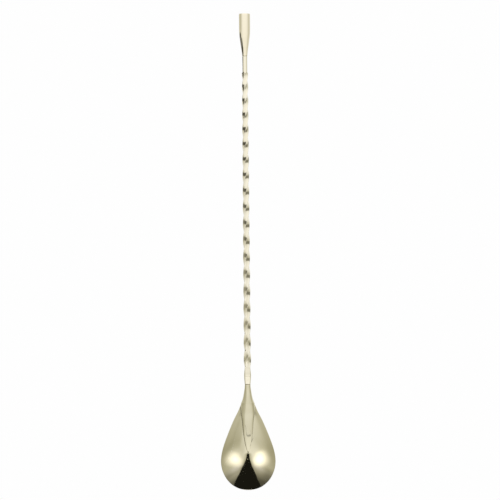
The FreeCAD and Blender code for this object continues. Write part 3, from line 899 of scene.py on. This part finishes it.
# ------------------------------------------------------------------ pieces
dish = build_dish()
neck = build_neck()
film = build_film()
shaft = build_shaft()
weight = build_weight()
weight_ring = build_weight_ring()
neck_ring_piece = build_neck_ring()

# Piece, part of the frame it replaces, slot, material.
for piece, part, slot, material in (
        (dish, "bowl_dish", "champagne_bowl", bowl_metal),
        (neck, "rat_tail_neck", "champagne_neck", neck_metal),
        (film, "tail_braze_film", "braze_filler", tail_filler_and_shade),
        (shaft, "twisted_shaft", "champagne_shaft", shaft_metal),
        (neck_ring_piece, "neck_braze_ring", "braze_filler", ring_filler),
        (weight, "end_weight", "champagne_weight", weight_metal),
        (weight_ring, "weight_braze_ring", "braze_filler", ring_filler)):
    piece.data.materials.append(material)
    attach(piece, "root")
    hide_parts(part)


# ------------------------------------------------------------------ studio
# The cloths are cylinders round the spoon. Their shades depend on the azimuth in
# degrees (0 = viewer at -Y, positive = right, +X) and on "up", the z in mm.
STUDIO_COUNT = 96
DEGREES_PER_RADIAN = 57.29578


def place_on_cloth(graph):
    """Position, azimuth and up of the shaded point."""
    position = graph.signal("NewGeometry", output="Position")
    split = graph.node("SeparateXYZ", {0: position})
    x, y, z = (Signal(graph, socket) for socket in split.outputs)
    azimuth = graph.math("ARCTAN2", x, y * -1.0) * DEGREES_PER_RADIAN
    return position, azimuth, z * (1.0 / MM)


def hang_cloth(name, radius, stations, material):
    """Cylinder seen in reflections only."""
    rings = [circle(radius, station, STUDIO_COUNT) for station in stations]
    cloth = make_mesh(name, np.concatenate(rings), bands(ring_rows(rings)))
    material.cycles.emission_sampling = "NONE"
    cloth.data.materials.append(material)
    cloth.visible_camera = False
    cloth.visible_shadow = False
    cloth.visible_diffuse = False


def build_world():
    """Even white light; the camera itself sees a plain backdrop."""
    world = bpy.data.worlds.new("studio")
    bpy.context.scene.world = world
    world.use_nodes = True
    graph = Graph(world.node_tree)
    light = graph.signal("Background", {"Color": (1.0, 0.99, 0.97, 1), "Strength": 1.1})
    backdrop = graph.signal("Background", {"Color": (0.992, 0.992, 0.992, 1)})
    seen = graph.signal("LightPath", output="Is Camera Ray")
    mixed = graph.signal("MixShader", {0: seen, 1: light, 2: backdrop})
    graph.node("OutputWorld", {"Surface": mixed})


# Opening in the tent: up, degrees to its left edge, degrees to its right edge.
OPENING = (
    (-900, 80, 66), (-672, 60, 42), (-620, 48, 33), (-556, 37.5, 27.5),
    (-518, 31.5, 23.5), (-470, 25.5, 18), (-440, 21, 13.5), (-401, 14, 9.5),
    (-377, 10, 6.8), (-345, 7.6, 5.0), (-322, 6.0, 4.2), (-305, 3.5, 2.5))


def tent_walls(azimuth, up):
    """Main brightness of the tent above its foot."""
    side = abs(azimuth)
    by_height = up.curve([
        (-900, .60), (-450, .78), (-330, .84), (-250, .84), (-200, .87), (-150, .92),
        (-100, .96), (-50, 1.0), (-20, 1.0), (10, 1.0), (40, 1.06), (450, 1.05)])
    high = side.curve([
        (0, 1.0), (30, .985), (50, .93), (70, .80), (90, .66), (110, .68), (130, .74),
        (150, .82), (180, .90)])
    low = side.curve([
        (0, 1.0), (20, .95), (40, .84), (60, .74), (80, .56), (95, .50), (110, .62),
        (130, .74), (180, .85)])
    value = by_height * blend(up.fade(-140, -215), high, low)
    high_left = azimuth.fade(-40, -75) * up.fade(-30, 0)
    value = value.darken(high_left, by=0.14)
    back_right = azimuth.fade(95, 120) * up.fade(-20, -80) * azimuth.fade(178, 150)
    value = value.brighten(back_right, by=0.28)
    low_front = up.fade(-190, -248) * azimuth.fade(-24, -4) * azimuth.fade(60, 34)
    return value.brighten(low_front, by=0.22)


def tent_foot(azimuth, up):
    """Dark foot of the tent, uneven round the spoon."""
    foot = up.curve([
        (-900, .06), (-620, .12), (-558, .25), (-522, .34), (-475, .50), (-447, .66),
        (-410, .80), (-370, .88)])
    # Azimuth where each change starts, where it ends, and the factor reached.
    for start, end, factor in (
            (36, 64, 0.48), (-42, -68, 0.62), (110, 176, 1.146), (-110, -176, 0.887)):
        foot = foot * azimuth.fade(start, end, 1.0, factor)
    low_left = azimuth.fade(-10, -30) * up.fade(-480, -530) * azimuth.fade(-176, -110)
    return foot.brighten(low_left, by=0.28)


def tent_material():
    material, graph = new_material("tent_cloth")
    _, azimuth, up = place_on_cloth(graph)
    value = tent_walls(azimuth, up)
    value = blend(up.fade(-372, -430), value, tent_foot(azimuth, up))

    # Greyer band at the left.
    grey = abs(azimuth + 54.0).fade(30, 12) * (up.fade(-90, -140) * up.fade(-250, -190))
    value = value.darken(grey, by=0.24)

    # Black opening low in front, with a soft dark border.
    left = up.curve([(row[0], row[1]) for row in OPENING])
    right = up.curve([(row[0], row[2]) for row in OPENING])
    border = ((azimuth + left).fade(-13, 1) * (right - azimuth).fade(-15, 1)
              * (up.fade(-296, -320) * up.fade(-500, -430)))
    value = value.darken(border, by=0.42)
    hole = (azimuth + left).fade(-0.9, 0.9) * (right - azimuth).fade(-0.9, 0.9)
    black = 0.012
    value = blend(hole * up.fade(-306, -316), value, black)

    # Small bright oval inside the opening.
    oval = graph.length((azimuth + 2.0) / 1.6, (up + 366.0) / 11.0)
    value = value + oval.fade(1.0, 0.4, first=0.0, last=0.5)

    # Narrow dark gap behind, to the left.
    gap = (azimuth.fade(-100, -112) * up.fade(-262, -276)
           * azimuth.fade(-174, -122) * up.fade(-400, -350))
    value = value.darken(gap, by=0.88)

    # Darker cloth is warmer: less green and much less blue.
    green = value * value.fade(0.25, 0.95, 0.975, 1.0)
    blue = value * (value.fade(0.20, 1.0, 0.74, 1.0) * up.fade(-385, -450, 1.0, 1.13))
    tone = graph.signal("CombineColor", {0: value, 1: green, 2: blue})
    graph.node("OutputMaterial", {"Surface": graph.signal("Emission", {"Color": tone})})
    return material


def flags_material():
    """Two soft-edged dark upright flags, left and right; clear between them."""
    material, graph = new_material("flag_cloth")
    _, azimuth, up = place_on_cloth(graph)
    centre = up.curve([(-218, -66), (-150, -68), (-100, -77), (-60, -76), (-12, -76)])
    left = abs(azimuth - centre).fade(28, 11) * up.fade(-36, -41) * up.fade(-217, -207)
    left_shade = up.curve([
        (-218, .42), (-205, .38), (-170, .30), (-120, .14), (-60, .08), (-12, .06)])
    centre = up.curve([(-215, 74), (-150, 68), (-100, 74), (-20, 80)])
    right = abs(azimuth - centre).fade(24, 9) * up.fade(-50, -80) * up.fade(-215, -204)
    right_shade = 0.22
    shade = blend(azimuth.fade(-5, 5), left_shade, right_shade)
    tone = graph.signal("CombineColor", {0: shade, 1: shade * 0.97, 2: shade * 0.80})
    mixed = graph.signal("MixShader", {
        0: left + right,
        1: graph.signal("BsdfTransparent"),
        2: graph.signal("Emission", {"Color": tone})})
    graph.node("OutputMaterial", {"Surface": mixed})
    return material


# Soft lights low in front: azimuth, up, half width in degrees, half height in mm, power.
SOFT_LIGHTS = (
    (-46.0, -307.0, 27.0, 31.5, 1.12), (41.8, -308.0, 25.5, 34.5, 1.36),
    (-42.0, -284.0, 27.0, 30.0, 0.17), (38.0, -284.0, 27.0, 30.0, 0.18),
    (56.0, -272.0, 17.0, 20.0, 0.12))


def hem_edge(graph, position, azimuth):
    """Up of the hem: it slopes, sways and rises to both sides."""
    wobble = graph.noise(position, 34.0, detail=0.0)
    edge = azimuth * -0.12 - 240.0 + (wobble - 0.5) * 7.0
    edge = edge + azimuth.fade(14, 30, 0.0, 12.0)
    return edge + azimuth.fade(-7, -24, 0.0, 12.0)


def hem_transparency(graph, position, azimuth, up):
    above = up - hem_edge(graph, position, azimuth)
    body = (above.fade(-0.6, 0.6) * up.fade(-186, -206)
            * (azimuth.fade(-60, -12) * azimuth.fade(66, 30)))
    line = (above.fade(-1.6, -0.2) * above.fade(2.8, 1.2)
            * (azimuth.fade(-30, -21) * azimuth.fade(30, 21)))
    through = (1.0 - body * 0.02).darken(line, by=0.50)

    # Dark upright area at the left, weaker at mid height, and one at the right.
    centre = up.curve([(-74, -84), (-50, -90), (-40, -102), (-28, -122), (-14, -132)])
    left = abs(azimuth - centre).fade(41, 28) * (up.fade(-12, -17) * up.fade(-60, -54))
    left = left.darken(up.fade(-23, -28) * up.fade(-41, -37), by=0.36)
    through = through.darken(left, by=0.95)
    right = abs(azimuth - 108.0).fade(26, 14) * (up.fade(-44, -54) * up.fade(-74, -70))
    return through.darken(right, by=0.5)


def soft_lights(graph, azimuth, up):
    """Sum of ovals that lean upwards away from the viewer's azimuth."""
    side = abs(azimuth)
    lean = 0.92  # mm per degree
    total = None
    for centre, middle, half_width_, half_height, power in SOFT_LIGHTS:
        across = (azimuth - centre) / half_width_
        leaning = (side - abs(centre)) * lean
        along = (up - leaning - middle) / half_height
        light = graph.length(across, along).fade(1.35, 0.0, first=0.0, last=power)
        total = light if total is None else total + light
    return total


def hem_material():
    """Nearly clear cloth with a thin dark hem, dark areas and soft lights."""
    material, graph = new_material("sheer_cloth")
    position, azimuth, up = place_on_cloth(graph)
    through = hem_transparency(graph, position, azimuth, up)
    tone = graph.signal("CombineColor", {0: through, 1: through, 2: through})
    clear = graph.signal("BsdfTransparent", {"Color": tone})
    glow = graph.signal("Emission", {
        "Color": (0.97, 0.945, 1.0, 1), "Strength": soft_lights(graph, azimuth, up)})
    both = graph.signal("AddShader", {0: clear, 1: glow})
    graph.node("OutputMaterial", {"Surface": both})
    return material


def floor_material():
    material, graph = new_material("floor_paper")
    grain = graph.noise(graph.signal("TexCoord", output="Object"), 900.0)
    colour = graph.colour_ramp(grain, (
        (0.0, (0.985, 0.985, 0.985)), (1.0, (0.998, 0.998, 0.998))))
    graph.node("OutputMaterial", {"Surface": graph.signal("Emission", {"Color": colour})})
    return material


def build_floor():
    """Round pale floor just under the bowl's tip, rising slightly at its edge."""
    base = -4.0
    # Radius, rise above the base.
    profile = ((5, 0), (60, 0), (200, 0), (420, 0.2), (520, 1.5))
    rings = [circle(radius, base + rise, STUDIO_COUNT) for radius, rise in profile]
    rows = ring_rows(rings)
    faces = bands(rows) + fan(rows[0], len(rings) * STUDIO_COUNT)
    floor = make_mesh("studio_floor", np.vstack(rings + [(0, 0, base)]), faces)
    floor.data.materials.append(floor_material())
    floor.visible_glossy = False
    floor.visible_diffuse = False
    floor.visible_shadow = False


build_world()
hang_cloth("studio_tent", radius=300.0, material=tent_material(),
           stations=(760.0, 500.0, 250.0, 0.0, -300.0, -700.0, -1300.0))
hang_cloth("studio_flags", radius=90.0, material=flags_material(),
           stations=(285.0, 260.0, 220.0, 180.0, 140.0, 100.0, 80.0))
hang_cloth("studio_hem", radius=140.0, material=hem_material(),
           stations=(292.0, 276.0, 262.0, 240.0, 222.0, 190.0, 160.0, 130.0, 100.0, 70.0,
                     40.0, 10.0, -20.0, -50.0, -80.0))
build_floor()

# ------------------------------------------------------------------ camera
CAMERA_DISTANCE = 3.0     # m, towards -Y
CAMERA_X = 2.21569
CAMERA_STATION = 151.19597
CAMERA_ROLL = -0.494      # degrees
VIEW_WIDTH = 314.72933    # width seen at the spoon
SENSOR_WIDTH = 36.0


def build_camera(scene):
    """Long lens looking along +Y."""
    data = bpy.data.cameras.new("camera")
    camera = bpy.data.objects.new("camera", data)
    scene.collection.objects.link(camera)
    data.sensor_width = SENSOR_WIDTH
    data.lens = SENSOR_WIDTH * CAMERA_DISTANCE / (VIEW_WIDTH * MM)
    data.clip_end = 20
    camera.location = (CAMERA_X * MM, -CAMERA_DISTANCE, height(CAMERA_STATION) * MM)
    upright = Matrix.Rotation(math.radians(90), 4, "X")
    look = upright @ Matrix.Rotation(math.radians(CAMERA_ROLL), 4, "Z")
    camera.rotation_euler = look.to_euler("XYZ")
    scene.camera = camera


scene = bpy.context.scene
scene.view_settings.view_transform = "Standard"
scene.view_settings.look = "None"
build_camera(scene)

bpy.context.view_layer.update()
